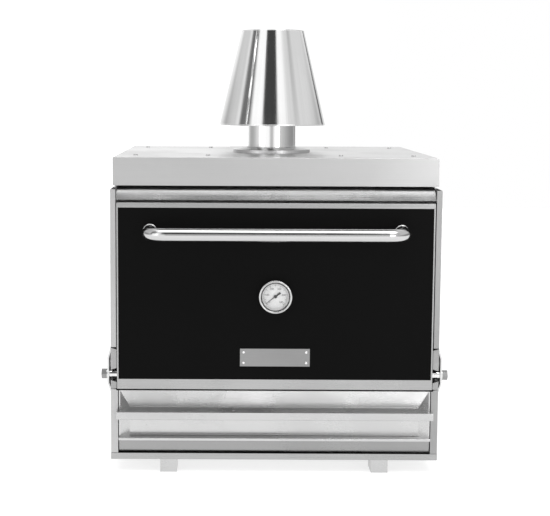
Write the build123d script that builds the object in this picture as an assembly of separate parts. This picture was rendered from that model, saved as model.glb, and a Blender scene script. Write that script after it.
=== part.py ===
"""Tabletop charcoal oven with a drop-down door, two front drawers and a conical flue hat.

Millimetres. +X is the oven's right as seen from the front, +Y is the back, +Z is up.
The origin is on the floor, under the centre of the bounding box. The door faces -Y.
"""

import os
from math import cos, pi, sin

from build123d import *

# Overall sizes
cabinet_width = 735.0
casing_depth = 600.0
foot_height = 30.0
top_height = 710.0

# Sheet thicknesses
skin = 1.5
base_skin = 2.0
chamber_wall = 3.0
pan_skin = 1.2
frame_plate = 2.0

# Top cover
cover_side_inset = 4.0
lip_height = 63.0
shoulder_gap = 7.0
cover_seat_gap = 0.2
cover_screw_radius = 5.0
cover_screw_height = 2.5
cover_screw_front_inset = 94.0
cover_screw_side_inset = 43.5
cover_screw_inner = 153.0

# Door
door_side_gap = 2.0
door_lead = 24.0
door_bottom = 190.8
door_top_drop = 99.1
door_thickness = 50.0
door_border_side = 3.5
door_border_bottom = 23.0
door_border_top = 11.0
door_edge_radius = 1.2
panel_thickness = 3.0
panel_recess = 1.5
panel_gap = 0.4
panel_seat = 1.4
inner_plate = 3.0

# Hinges
pivot_back = 18.0
pivot_rise = 31.2
pin_radius = 8.0
pin_running_gap = 0.05
pin_bracket_gap = 0.1
pin_reach = 24.0
pin_head_flats = 21.0
pin_head_corner_cut = 0.7
pin_head_thickness = 11.5
washer_radius = 11.0
washer_thickness = 2.5
bush_radius = 10.0
bush_end_gap = 0.4
bracket_plate = 3.5
bracket_bulge = 7.5
bracket_foot_drop = 38.0
bracket_low_drop = 18.0
bracket_high_rise = 40.0
bracket_top_rise = 66.0
bracket_front_setback = 2.0
bracket_length = 74.0
rivet_shank_radius = 3.0
rivet_head_radius = 6.0
rivet_shank_gap = 0.1
rivet_back = 58.0
rivet_drop = 13.0
rivet_rise = 35.0
notch_drop = 32.0
notch_rise = 64.0
notch_depth = 38.0
hinge_block_side = 34.0
hinge_block_height = 51.0
hinge_block_depth = 30.0
side_hole_gap = 3.0

# Front frame, seal and hood
side_flange_width = 12.0
seal_gap = 15.0
seal_width = 10.0
seal_clearance = 0.3
seal_margin = 8.0
drawer_top_gap = 2.0
hood_side_gap = 1.0
hood_upright = 20.0
hood_fall = 2.0
hood_lip_gap = 5.0
hood_bend_back = 32.0
hood_front_back = 2.0
hood_door_gap = 6.1
tab_x = -7.0
tab_width = 9.0
tab_length = 16.0
tab_thickness = 2.0

# Chamber
chamber_side_space = 67.5
chamber_back_space = 130.0
chamber_floor_rise = 82.2
chamber_roof_drop = 22.9

# Flue
flue_back = 285.0
flue_radius = 58.5
flue_wall = 1.5
flue_gap = 0.2
flue_length = 156.0
flange_radius = 94.5
flange_height = 11.0
flange_foot = 7.0
flange_bead = 12.0
hat_rise = 66.5
hat_height = 228.5
hat_bottom_radius = 130.6
hat_top_radius = 77.0
hat_wall = 1.5
strap_count = 3
strap_width = 20.0
strap_thickness = 3.0
strap_rise = 96.0
strap_gap = 0.3
screen_hole_radius = 6.0
screen_thickness = 3.0
screen_rings = 3
screen_pitch = 16.0
damper_rise = 36.0
damper_gap = 1.5
damper_thickness = 2.0
spindle_radius = 4.0
spindle_gap = 0.08
spindle_sleeve = 6.0
spindle_tail = 24.0
lever_length = 60.0
lever_width = 14.0
lever_thickness = 3.0
lever_knob_radius = 9.0

# Handle
handle_diameter = 30.0
handle_wall = 2.0
handle_standoff = 70.0
handle_side_inset = 74.5
handle_drop = 63.3
handle_bend = 38.0
rosette_rim = 1.5
rosette_thickness = 4.0
rosette_gap = 0.1
stud_plug_length = 18.0
stud_radius = 5.0
stud_head_radius = 9.0
stud_head_thickness = 6.0
stud_gap = 0.2

# Thermometer
gauge_rise = 212.2
gauge_radius = 37.3
gauge_depth = 16.0
gauge_wall = 2.0
gauge_bezel = 4.0
gauge_back = 3.0
gauge_lens_radius_gap = 0.1
gauge_lens_thickness = 2.0
gauge_lens_setback = 1.5
dial_thickness = 0.8
dial_gap = 0.3
needle_length = 26.0
needle_tail = 14.0
needle_width = 2.2
needle_tip = 0.6
needle_thickness = 0.8
needle_gap = 1.4
needle_hub_radius = 3.2
needle_rest_angle = 217.7
probe_radius = 4.0
probe_reach = 60.0
probe_gap = 0.3
gauge_nut_flats = 22.0
gauge_nut_thickness = 6.0

# Blank plate on the door
plate_width = 156.0
plate_height = 40.0
plate_thickness = 2.0
plate_rise = 73.2
rivet_radius = 3.0
rivet_height = 1.4
rivet_inset = 8.0

# Hearth and grills
hearth_side_shelf = 90.0
hearth_front_shelf = 118.0
hearth_back_shelf = 22.0
chute_wall = 2.0
chute_pan_gap = 10.0
chute_inset = 30.0
grate_bar = 14.0
grate_thickness = 16.0
grate_pitch = 30.0
grate_gap = 3.0
ledge_width = 16.0
ledge_thickness = 3.0
lower_grill_drop = 38.0
upper_grill_rise = 67.0
grill_rim = 10.0
grill_rod = 6.0
grill_pitch = 22.0
grill_side_gap = 4.0
grill_end_gap = 12.0
runner_leg = 22.0
runner_thickness = 3.0
runner_rest_gap = 0.3

# Drawers
cabinet_setback = 1.0
drawer_width_gap = 2.0
stile_width = 16.0
apron_gap = 3.3
apron_fall = 43.5
grease_recess = 23.0
pull_reach = 25.0
pull_face = 17.0
pull_return = 10.0
pull_side_inset = 14.5
cheek_run = 20.0
front_bend = 1.6
ash_recess = 12.0
ash_top_gap = 3.0
ash_ledge = 82.0
ash_ledge_face = 6.5
ash_ledge_reach = 11.0
ash_front_lift = 1.0
ash_front_slope = 6.0
pan_side_gap = 15.5
pan_flange = 10.0
grease_pan_depth = 160.0
grease_pan_height = 44.0
grease_pan_drop = 17.5
ash_pan_back_space = 100.0
ash_pan_height = 59.0
ash_pan_lift = 15.0
rail_thickness = 2.0
rail_gap = 0.3
rail_overlap = 8.0
rail_upright = 14.0
rail_start = 6.0
base_lip_height = 14.0

# Feet
foot_width = 38.0
foot_length = 54.0
foot_wall = 3.0
foot_side_inset = 129.5
foot_front_inset = 1.0
foot_back_inset = 8.0

# Places worked out from the sizes: front to back
handle_reach = handle_standoff + handle_diameter / 2
door_y = -(casing_depth + door_lead - handle_reach) / 2
cover_y = door_y + door_lead
back_y = cover_y + casing_depth
door_back_y = door_y + door_thickness
frame_y = door_back_y + seal_gap
chamber_y = frame_y + frame_plate
chamber_depth = casing_depth - chamber_back_space
chamber_back_y = chamber_y + chamber_depth + chamber_wall
ash_pan_depth = casing_depth - ash_pan_back_space
back_inner_y = back_y - 2 * skin
cabinet_y = door_y + cabinet_setback
pivot_y = door_y + pivot_back
rivet_y = door_y + rivet_back
flue_y = cover_y + flue_back
panel_face_y = door_y + panel_recess
panel_back_y = panel_face_y + panel_thickness
hearth_y0 = chamber_y + hearth_front_shelf
hearth_y1 = chamber_y + chamber_depth - hearth_back_shelf
grease_recess_y = cabinet_y + grease_recess
ash_recess_y = cabinet_y + ash_recess
gauge_front_y = panel_face_y - gauge_depth
lens_y = gauge_front_y + gauge_lens_setback
dial_y = panel_face_y - gauge_back

# Places worked out from the sizes: side to side
side_outer = cabinet_width / 2
side_inner = side_outer - skin
cover_half = side_outer - cover_side_inset
collar_outer = cover_half - skin - cover_seat_gap
collar_inner = collar_outer - skin
door_half = side_outer - side_flange_width - door_side_gap
panel_half = door_half - door_border_side
chamber_side = side_outer - chamber_side_space
chamber_outer = chamber_side + chamber_wall
hearth_half = chamber_side - hearth_side_shelf
bracket_out = side_outer + bracket_bulge
bracket_in = bracket_out - bracket_plate
handle_half = door_half - handle_side_inset
rosette_radius = handle_diameter / 2 + rosette_rim
lens_radius = gauge_radius - gauge_wall
drawer_half = side_outer - stile_width - drawer_width_gap
pull_half_width = side_outer - pull_side_inset
pan_half_width = drawer_half - pan_side_gap
foot_spread = side_outer - foot_side_inset
cover_screw_outer = cover_half - cover_screw_side_inset
hat_slope = (hat_bottom_radius - hat_top_radius) / hat_height
hat_wall_across = hat_wall * (1 + hat_slope**2) ** 0.5

# Places worked out from the sizes: upwards
base_top = foot_height + base_skin
under_cover = top_height - skin
cover_hem = top_height - lip_height
shoulder_height = cover_hem - shoulder_gap
door_top = top_height - door_top_drop
pivot_z = door_bottom + pivot_rise
panel_bottom = door_bottom + door_border_bottom
panel_top = door_top - door_border_top
handle_height = door_top - handle_drop
gauge_height = door_bottom + gauge_rise
plate_centre_height = door_bottom + plate_rise
rivet_heights = (pivot_z - rivet_drop, pivot_z + rivet_rise)
hood_bend_height = cover_hem - hood_lip_gap
hood_root = hood_bend_height + hood_fall
hood_front_height = door_top + hood_door_gap
chamber_bottom = door_bottom + chamber_floor_rise
chamber_top = door_top - chamber_roof_drop
chute_top = chamber_bottom - chamber_wall
grill_heights = (gauge_height - lower_grill_drop, gauge_height + upper_grill_rise)
grease_front_top = door_bottom - apron_gap
frame_bottom = grease_front_top + drawer_top_gap
pull_height = grease_front_top - apron_fall
ash_front_top = pull_height - pull_face - ash_top_gap
ash_front_bottom = foot_height + base_lip_height + ash_front_lift
grease_pan_top = grease_front_top - grease_pan_drop
grease_pan_bottom = grease_pan_top - grease_pan_height
ash_pan_bottom = base_top + ash_pan_lift
ash_pan_top = ash_pan_bottom + ash_pan_height
chute_bottom = ash_pan_top + chute_pan_gap
flue_top = top_height + flue_length
hat_bottom = top_height + hat_rise
hat_top = hat_bottom + hat_height
strap_height = top_height + strap_rise
damper_height = top_height + damper_rise


def block(x0, x1, y0, y1, z0, z1):
    """A box between two corners."""
    size = Box(x1 - x0, y1 - y0, z1 - z0)
    return Pos((x0 + x1) / 2, (y0 + y1) / 2, (z0 + z1) / 2) * size


def rod_x(radius, x0, x1, y, z):
    """A round bar along X."""
    return Pos((x0 + x1) / 2, y, z) * Rot(0, 90, 0) * Cylinder(radius, x1 - x0)


def rod_y(radius, y0, y1, x, z):
    """A round bar along Y."""
    return Pos(x, (y0 + y1) / 2, z) * Rot(90, 0, 0) * Cylinder(radius, y1 - y0)


def rod_z(radius, z0, z1, x, y):
    """A round bar along Z."""
    return Pos(x, y, (z0 + z1) / 2) * Cylinder(radius, z1 - z0)


def hexagon_x(flats, x0, x1, y, z):
    """A hexagonal bar along X."""
    face = Plane((x0, y, z), x_dir=(0, 1, 0), z_dir=(1, 0, 0)) * RegularPolygon(flats / 2, 6, major_radius=False)
    return extrude(face, x1 - x0)


def across_x(points, x0, x1):
    """A prism along X from an outline of (y, z) points."""
    outline = Plane((x0, 0, 0), x_dir=(0, 1, 0), z_dir=(1, 0, 0)) * Polygon(*points, align=None)
    return extrude(outline, x1 - x0, dir=(1, 0, 0))


def folded_sheet(points, side, bend, x0, x1):
    """A sheet folded along (y, z) points and run along X, with its thickness on one side of the points."""
    plane = Plane((x0, 0, 0), x_dir=(0, 1, 0), z_dir=(1, 0, 0))
    line = FilletPolyline(*points, radius=bend)
    strip = make_face(offset(line, skin, side=side, closed=True))
    return extrude(plane * strip, x1 - x0, dir=(1, 0, 0))


def mirrored(piece):
    """The same piece on the other side of the oven."""
    return mirror(piece, about=Plane.YZ)


def group(pieces):
    """Separate solids that share one node."""
    return Compound([solid for piece in pieces for solid in piece.solids()])


def save(name, piece):
    """Writes one node."""
    export_step(piece, f"parts/{name}.step")


# Casing


def make_base_tray():
    """Bottom pan with a lip that stands up across the front."""
    half = cabinet_width / 2
    floor = block(-half, half, cabinet_y, back_y - skin, foot_height, base_top)
    lip = block(-half, half, cabinet_y - base_skin, cabinet_y, foot_height, foot_height + base_lip_height)
    return floor + lip


def make_feet():
    """Four hollow box feet, welded under the pan and closed at the floor."""
    feet = []
    for x in (-foot_spread, foot_spread):
        for y in (cabinet_y + foot_front_inset, back_y - foot_back_inset - foot_length):
            x0 = x - foot_width / 2
            outer = block(x0, x0 + foot_width, y, y + foot_length, 0, foot_height)
            hollow = block(
                x0 + foot_wall,
                x0 + foot_width - foot_wall,
                y + foot_wall,
                y + foot_length - foot_wall,
                foot_wall,
                foot_height,
            )
            feet.append(outer - hollow)
    return group(feet)


def make_side_panel():
    """Right side skin with folded stiles at the front and a collar that the top cover fits over."""
    wall = block(side_inner, side_outer, cabinet_y, back_y - skin, base_top, shoulder_height)
    shoulder = block(collar_inner, side_inner, frame_y, back_y - skin, shoulder_height - skin, shoulder_height)
    collar = block(collar_inner, collar_outer, frame_y, back_inner_y, shoulder_height, under_cover)
    flange = block(
        side_outer - side_flange_width, side_inner, cabinet_y, cabinet_y + skin, grease_front_top, shoulder_height
    )
    stile = block(side_outer - stile_width, side_inner, cabinet_y, cabinet_y + skin, base_top, grease_front_top)
    panel = wall + shoulder + collar + flange + stile
    panel = fillet(panel.edges().filter_by(Axis.Z).group_by(Axis.Y)[0].sort_by(Axis.X)[-1:], skin * 0.8)
    low = pivot_z - notch_drop
    high = pivot_z + notch_rise
    panel -= block(door_half, side_outer, cabinet_y, cabinet_y + notch_depth, low, high)
    for z in rivet_heights:
        panel -= rod_x(rivet_shank_radius + rivet_shank_gap, collar_inner, side_outer + skin, rivet_y, z)
    return panel


def make_back_panel():
    """Back skin between the side skins, narrower inside the cover."""
    low = block(-side_inner, side_inner, back_inner_y, back_y - skin, base_top, shoulder_height - skin)
    high = block(-collar_inner, collar_inner, back_inner_y, back_y - skin, shoulder_height - skin, under_cover)
    return low + high


def make_front_frame():
    """Plate behind the door with the mouth of the chamber."""
    plate = block(-side_inner, side_inner, frame_y, chamber_y, frame_bottom, shoulder_height - skin)
    plate += block(-collar_inner, collar_inner, frame_y, chamber_y, shoulder_height - skin, under_cover)
    mouth = block(-chamber_side, chamber_side, frame_y, chamber_y, chamber_bottom, chamber_top)
    return plate - mouth


def make_hood():
    """Drip hood over the door: a sheet that slopes down from under the cover, between the side flanges."""
    half = side_outer - side_flange_width - hood_side_gap
    points = [
        (frame_y, hood_root + hood_upright),
        (frame_y, hood_root),
        (door_y + hood_bend_back, hood_bend_height),
        (door_y + hood_front_back, hood_front_height),
    ]
    return folded_sheet(points, Side.RIGHT, front_bend, -half, half)


def make_hood_tab():
    """Small tab on the hood's slope, over the middle of the door."""
    run = hood_bend_back - hood_front_back
    rise = hood_bend_height - hood_front_height
    length = (run**2 + rise**2) ** 0.5
    along_y = run / length
    along_z = rise / length
    y = door_y + hood_front_back - along_z * skin
    z = hood_front_height + along_y * skin
    points = [
        (y, z),
        (y + along_y * tab_length, z + along_z * tab_length),
        (
            y + along_y * tab_length - along_z * tab_thickness,
            z + along_z * tab_length + along_y * tab_thickness,
        ),
        (y - along_z * tab_thickness, z + along_y * tab_thickness),
    ]
    return across_x(points, tab_x - tab_width / 2, tab_x + tab_width / 2)


def make_top_cover():
    """Folded lid with a skirt on all four sides and a hole for the flue."""
    half = cover_half
    outer = block(-half, half, cover_y, back_y, cover_hem, top_height)
    outer = fillet(outer.edges().group_by(Axis.Z)[-1], skin)
    inner = block(-half + skin, half - skin, cover_y + skin, back_y - skin, cover_hem, under_cover)
    hole = rod_z(flue_radius + flue_gap, under_cover - skin, top_height + skin, 0, flue_y)
    return outer - inner - hole


def make_cover_screws():
    """Low round heads that hold the cover down, in two rows."""
    heads = []
    for y in (cover_y + cover_screw_front_inset, back_y - cover_screw_front_inset):
        for x in (-cover_screw_outer, -cover_screw_inner, cover_screw_inner, cover_screw_outer):
            head = rod_z(cover_screw_radius, top_height, top_height + cover_screw_height, x, y)
            heads.append(fillet(head.edges().group_by(Axis.Z)[-1], cover_screw_height * 0.6))
    return group(heads)


# Chamber


def make_chamber():
    """Five-sided cooking chamber with the hearth opening in its floor and the flue hole in its roof."""
    outer = block(
        -chamber_outer,
        chamber_outer,
        chamber_y,
        chamber_back_y,
        chamber_bottom - chamber_wall,
        chamber_top + chamber_wall,
    )
    inner = block(
        -chamber_side, chamber_side, chamber_y, chamber_y + chamber_depth, chamber_bottom, chamber_top
    )
    hearth = block(
        -hearth_half, hearth_half, hearth_y0, hearth_y1, chamber_bottom - 2 * chamber_wall, chamber_bottom + chamber_wall
    )
    flue = rod_z(flue_radius + flue_gap, chamber_top - chamber_wall, chamber_top + 2 * chamber_wall, 0, flue_y)
    return outer - inner - hearth - flue


def make_side_insulation():
    """Fibre slabs between the chamber and the side skins."""
    slab = block(chamber_outer, collar_inner, chamber_y, back_inner_y, frame_bottom, under_cover)
    return group([slab, mirrored(slab)])


def make_top_insulation():
    """Fibre slab over the chamber, round the flue."""
    slab = block(-chamber_outer, chamber_outer, chamber_y, back_inner_y, chamber_top + chamber_wall, under_cover)
    return slab - rod_z(flue_radius + flue_gap, chamber_top, top_height, 0, flue_y)


def make_back_insulation():
    """Fibre slab behind the chamber."""
    return block(
        -chamber_outer, chamber_outer, chamber_back_y, back_inner_y, frame_bottom, chamber_top + chamber_wall
    )


def make_floor_insulation():
    """Fibre slab under the chamber, round the ash chute."""
    slab = block(
        -chamber_outer, chamber_outer, chamber_y, chamber_back_y, frame_bottom, chamber_bottom - chamber_wall
    )
    return slab - chute_form(chute_wall)


def chute_form(grow):
    """The tapered space under the hearth, grown by a wall."""
    top = Plane.XY.offset(chute_top)
    bottom = Plane.XY.offset(chute_bottom)
    middle = (hearth_y0 + hearth_y1) / 2
    upper = top * Pos(0, middle) * Rectangle(2 * hearth_half + 2 * grow, hearth_y1 - hearth_y0 + 2 * grow)
    lower = bottom * Pos(0, middle) * Rectangle(
        2 * (hearth_half - chute_inset + grow), hearth_y1 - hearth_y0 - 2 * chute_inset + 2 * grow
    )
    return loft([lower, upper])


def make_ash_chute():
    """Tapered chute from the hearth to the ash pan."""
    return chute_form(chute_wall) - chute_form(0)


def make_grate_ledges():
    """Two angles inside the chute that carry the ember grate."""
    top = chamber_bottom - grate_thickness
    taper = chute_inset / (chute_top - chute_bottom)
    x1 = hearth_half - taper * (chute_top - top + ledge_thickness)
    ledge = block(x1 - ledge_width, x1, hearth_y0 + grate_bar, hearth_y1 - grate_bar, top - ledge_thickness, top)
    return group([ledge, mirrored(ledge)])


def make_ember_grate():
    """Cast grate: bars from front to back on two cross bars."""
    half = hearth_half - grate_gap - grate_bar / 4
    count = int(2 * (half - grate_bar / 2) // grate_pitch) + 1
    first = -(count - 1) * grate_pitch / 2
    top = chamber_bottom
    y0 = hearth_y0 + grate_gap + grate_bar
    y1 = hearth_y1 - grate_gap - grate_bar
    grate = block(-half, half, y0, y0 + grate_bar, top - grate_thickness, top)
    grate += block(-half, half, y1 - grate_bar, y1, top - grate_thickness, top)
    for i in range(count):
        x = first + i * grate_pitch
        grate += block(x - grate_bar / 2, x + grate_bar / 2, y0, y1, top - grate_thickness, top)
    return grate


def make_grill_runners():
    """Angles on both chamber walls, a pair under each grill."""
    runners = []
    for height in grill_heights:
        top = height - grill_rim / 2 - runner_rest_gap
        shelf = block(
            chamber_side - runner_leg,
            chamber_side,
            chamber_y + grill_end_gap,
            chamber_y + chamber_depth,
            top - runner_thickness,
            top,
        )
        upright = block(
            chamber_side - runner_thickness,
            chamber_side,
            chamber_y + grill_end_gap,
            chamber_y + chamber_depth,
            top - runner_leg,
            top,
        )
        runner = shelf + upright
        runners += [runner, mirrored(runner)]
    return group(runners)


def make_grill(height):
    """A rod grill: a square-cornered rim of round bar with thinner rods welded across it."""
    half = chamber_side - grill_side_gap - grill_rim / 2
    y0 = chamber_y + 2 * grill_end_gap
    y1 = chamber_y + chamber_depth - grill_end_gap
    rim = rod_y(grill_rim / 2, y0, y1, -half, height) + rod_y(grill_rim / 2, y0, y1, half, height)
    rim += rod_x(grill_rim / 2, -half, half, y0, height) + rod_x(grill_rim / 2, -half, half, y1, height)
    for x in (-half, half):
        rim += Pos(x, y0, height) * Sphere(grill_rim / 2)
        rim += Pos(x, y1, height) * Sphere(grill_rim / 2)
    count = int(2 * half // grill_pitch) - 1
    first = -(count - 1) * grill_pitch / 2
    rods = [rod_y(grill_rod / 2, y0, y1, first + i * grill_pitch, height) for i in range(count)]
    return rim.fuse(*rods)


# Flue


def make_flue_pipe():
    """Straight tube from the chamber roof to inside the hat, with a hole for the damper spindle."""
    pipe = rod_z(flue_radius, chamber_top, flue_top, 0, flue_y)
    pipe -= rod_z(flue_radius - flue_wall, chamber_top - flue_wall, flue_top + flue_wall, 0, flue_y)
    back = flue_y + flue_radius + flue_wall
    return pipe - rod_y(spindle_radius + spindle_gap, flue_y, back, 0, damper_height)


def make_flue_flange():
    """Pressed ring that seals the flue to the cover."""
    inner = flue_radius + flue_gap
    points = [
        (inner, 0),
        (flange_radius, 0),
        (flange_radius, flange_foot),
        (inner + flange_bead, flange_height),
        (inner, flange_height),
    ]
    profile = Plane.XZ * Polygon(*points, align=None)
    return Pos(0, flue_y, top_height) * revolve(profile, Axis.Z)


def make_hat():
    """Open cone that draws air round the end of the flue."""
    points = [
        (hat_bottom_radius, 0),
        (hat_top_radius, hat_height),
        (hat_top_radius - hat_wall_across, hat_height),
        (hat_bottom_radius - hat_wall_across, 0),
    ]
    profile = Plane.XZ * Polygon(*points, align=None)
    return Pos(0, flue_y, hat_bottom) * revolve(profile, Axis.Z)


def make_hat_straps():
    """Flat straps that hang the hat on the flue."""
    top = strap_height + strap_thickness
    reach = hat_bottom_radius - hat_slope * (top - hat_bottom) - hat_wall_across - strap_gap
    straps = []
    bore = rod_z(flue_radius + strap_gap, strap_height - strap_thickness, top + strap_thickness, 0, 0)
    rim = rod_z(reach, strap_height, top, 0, 0)
    for i in range(strap_count):
        bar = block(0, hat_bottom_radius, -strap_width / 2, strap_width / 2, strap_height, top)
        strap = (bar & rim) - bore
        straps.append(Pos(0, flue_y, 0) * Rot(0, 0, 360 * i / strap_count - 90) * strap)
    return group(straps)


def make_spark_screen():
    """Perforated disc that stops embers at the top of the flue."""
    disc = rod_z(flue_radius - flue_wall, 0, screen_thickness, 0, 0)
    top = flue_top - screen_thickness
    holes = [rod_z(screen_hole_radius, -1, screen_thickness + 1, 0, 0)]
    for ring in range(1, screen_rings + 1):
        for i in range(6 * ring):
            angle = 2 * pi * i / (6 * ring)
            x = ring * screen_pitch * cos(angle)
            y = ring * screen_pitch * sin(angle)
            holes.append(rod_z(screen_hole_radius, -1, screen_thickness + 1, x, y))
    return Pos(0, flue_y, top) * disc.cut(*holes)


def make_damper_valve():
    """Round valve plate, standing open, welded to a spindle that leaves through the back of the flue."""
    radius = flue_radius - flue_wall - damper_gap
    plate = rod_x(radius, -damper_thickness / 2, damper_thickness / 2, flue_y, damper_height)
    sleeve = rod_y(spindle_sleeve, flue_y - radius * 0.9, flue_y + radius * 0.9, 0, damper_height)
    tail = flue_y + flue_radius + spindle_tail
    return plate + sleeve + rod_y(spindle_radius, flue_y, tail, 0, damper_height)


def make_damper_lever():
    """Flat lever on the end of the spindle, with a round grip."""
    y0 = flue_y + flue_radius + spindle_tail
    y1 = y0 + lever_thickness
    bar = block(-lever_width / 2, lever_width / 2, y0, y1, damper_height, damper_height + lever_length)
    hub = rod_y(lever_width / 2, y0, y1, 0, damper_height)
    grip = Pos(0, y1, damper_height + lever_length) * Sphere(lever_knob_radius)
    return bar + hub + grip


# Door


def make_door_frame():
    """Folded tray: a border round the panel, four sides and an open back."""
    half = door_half
    outer = block(-half, half, door_y, door_back_y, door_bottom, door_top)
    long_edges = outer.edges().filter_by(Axis.Y)
    front_edges = outer.faces().sort_by(Axis.Y)[0].edges()
    outer = fillet(long_edges + front_edges, door_edge_radius)
    inner = block(
        -half + skin, half - skin, panel_back_y, door_back_y, door_bottom + skin, door_top - skin
    )
    seat_half = panel_half + panel_seat
    seat = block(
        -seat_half, seat_half, panel_face_y, panel_back_y, panel_bottom - panel_seat, panel_top + panel_seat
    )
    window = block(-panel_half, panel_half, door_y, panel_face_y, panel_bottom, panel_top)
    frame = outer - inner - seat - window
    hole = rod_x(pin_radius + side_hole_gap, half - 2 * skin, half + skin, pivot_y, pivot_z)
    return frame - hole - mirrored(hole)


def make_door_panel():
    """Flat dark front panel, held in the border's seat."""
    half = panel_half + panel_seat - panel_gap
    low = panel_bottom - panel_seat + panel_gap
    high = panel_top + panel_seat - panel_gap
    panel = block(-half, half, panel_face_y, panel_back_y, low, high)
    cuts = [rod_y(probe_radius + probe_gap, panel_face_y, panel_back_y, 0, gauge_height)]
    for x in (-handle_half, handle_half):
        cuts.append(rod_y(stud_radius + stud_gap, panel_face_y, panel_back_y, x, handle_height))
    return panel.cut(*cuts)


def make_door_inner_plate():
    """Steel plate that closes the back of the door."""
    half = door_half - skin
    plate = block(
        -half, half, door_back_y - inner_plate, door_back_y, door_bottom + skin, door_top - skin
    )
    return plate - rod_y(probe_radius + probe_gap, door_y, door_back_y, 0, gauge_height)


def hinge_block_form():
    """The space of the right hinge block inside the door."""
    outer = door_half - skin
    low = door_bottom + skin
    front = panel_back_y
    return block(outer - hinge_block_depth, outer, front, front + hinge_block_side, low, low + hinge_block_height)


def make_hinge_blocks():
    """Steel blocks inside the door's lower corners, bored for the hinge pins."""
    bore = rod_x(pin_radius + pin_running_gap, 0, door_half, pivot_y, pivot_z)
    right = hinge_block_form() - bore
    return group([right, mirrored(right)])


def make_door_insulation():
    """Fibre slab inside the door."""
    half = door_half - skin
    slab = block(
        -half, half, panel_back_y, door_back_y - inner_plate, door_bottom + skin, door_top - skin
    )
    cuts = [hinge_block_form(), mirrored(hinge_block_form())]
    cuts.append(rod_y(gauge_nut_flats, panel_back_y, panel_back_y + gauge_nut_thickness, 0, gauge_height))
    cuts.append(rod_y(probe_radius + probe_gap, panel_back_y, door_back_y, 0, gauge_height))
    for x in (-handle_half, handle_half):
        deep = panel_back_y + stud_head_thickness
        cuts.append(rod_y(stud_head_radius + stud_gap, panel_back_y, deep, x, handle_height))
    return slab.cut(*cuts)


def make_handle():
    """Bent round tube across the door."""
    front = door_y - handle_standoff
    points = [
        (-handle_half, panel_face_y, handle_height),
        (-handle_half, front, handle_height),
        (handle_half, front, handle_height),
        (handle_half, panel_face_y, handle_height),
    ]
    path = FilletPolyline(*points, radius=handle_bend)
    start = Plane(points[0], x_dir=(1, 0, 0), z_dir=(0, -1, 0))
    outer = sweep(start * Circle(handle_diameter / 2), path=path)
    inner = sweep(start * Circle(handle_diameter / 2 - handle_wall), path=path)
    return outer - inner


def make_handle_rosettes():
    """Round collars where the handle meets the panel."""
    collars = []
    for x in (-handle_half, handle_half):
        y0 = panel_face_y - rosette_thickness
        collar = rod_y(rosette_radius, y0, panel_face_y, x, handle_height)
        collar = fillet(collar.edges().sort_by(Axis.Y)[0], rosette_thickness / 2)
        bore = rod_y(handle_diameter / 2 + rosette_gap, y0 - 1, panel_face_y + 1, x, handle_height)
        collars.append(collar - bore)
    return group(collars)


def make_handle_studs():
    """Plugs in the handle's ends, each drawn tight by a head inside the door."""
    studs = []
    for x in (-handle_half, handle_half):
        radius = handle_diameter / 2 - handle_wall - stud_gap
        plug = rod_y(radius, panel_face_y - stud_plug_length, panel_face_y, x, handle_height)
        shank = rod_y(stud_radius, panel_face_y - 1, panel_back_y + 1, x, handle_height)
        head = rod_y(stud_head_radius, panel_back_y, panel_back_y + stud_head_thickness, x, handle_height)
        studs.append(plug + shank + head)
    return group(studs)


def make_plate():
    """Blank plate under the thermometer."""
    y0 = panel_face_y - plate_thickness
    z0 = plate_centre_height - plate_height / 2
    return block(-plate_width / 2, plate_width / 2, y0, panel_face_y, z0, z0 + plate_height)


def make_plate_rivets():
    """Four small domed heads at the plate's corners."""
    heads = []
    y0 = panel_face_y - plate_thickness - rivet_height
    for x in (-plate_width / 2 + rivet_inset, plate_width / 2 - rivet_inset):
        for z in (-plate_height / 2 + rivet_inset, plate_height / 2 - rivet_inset):
            head = rod_y(rivet_radius, y0, y0 + rivet_height, x, plate_centre_height + z)
            heads.append(fillet(head.edges().sort_by(Axis.Y)[0], rivet_height * 0.7))
    return group(heads)


# Thermometer


def make_gauge_case():
    """Round case with a rolled bezel in front of the lens."""
    case = rod_y(gauge_radius, gauge_front_y, panel_face_y, 0, gauge_height)
    case = fillet(case.edges().sort_by(Axis.Y)[0], gauge_wall * 0.9)
    hollow = rod_y(lens_radius, lens_y, dial_y, 0, gauge_height)
    mouth = rod_y(gauge_radius - gauge_bezel, gauge_front_y - 1, lens_y, 0, gauge_height)
    probe = rod_y(probe_radius + probe_gap, dial_y, panel_face_y, 0, gauge_height)
    return case - hollow - mouth - probe


def make_gauge_dial():
    """Thin round dial on the floor of the case."""
    return rod_y(lens_radius - dial_gap, dial_y - dial_thickness, dial_y, 0, gauge_height)


def make_gauge_lens():
    """Flat glass behind the bezel."""
    radius = lens_radius - gauge_lens_radius_gap
    return rod_y(radius, lens_y, lens_y + gauge_lens_thickness, 0, gauge_height)


def make_gauge_needle():
    """Pointer with a broad tail, turned to the low end of its scale."""
    y1 = dial_y - dial_thickness - needle_gap
    y0 = y1 - needle_thickness
    hub = rod_y(needle_hub_radius, y0 - needle_thickness, dial_y - dial_thickness - dial_gap, 0, 0)
    half = needle_width / 2
    tip = needle_tip / 2
    arm = [(0, half), (needle_length, tip), (needle_length, -tip), (0, -half)]
    tail = [(0, half), (0, -half), (-needle_tail, -needle_width), (-needle_tail, needle_width)]
    plane = Plane((0, y1, 0), x_dir=(1, 0, 0), z_dir=(0, -1, 0))
    flat = extrude(plane * Polygon(*arm, align=None), needle_thickness, dir=(0, -1, 0))
    flat += extrude(plane * Polygon(*tail, align=None), needle_thickness, dir=(0, -1, 0))
    return Pos(0, 0, gauge_height) * Rot(0, -needle_rest_angle, 0) * (hub + flat)


def make_gauge_probe():
    """Stem of the thermometer, through the door into the chamber."""
    return rod_y(probe_radius, dial_y, door_back_y + probe_reach, 0, gauge_height)


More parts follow.
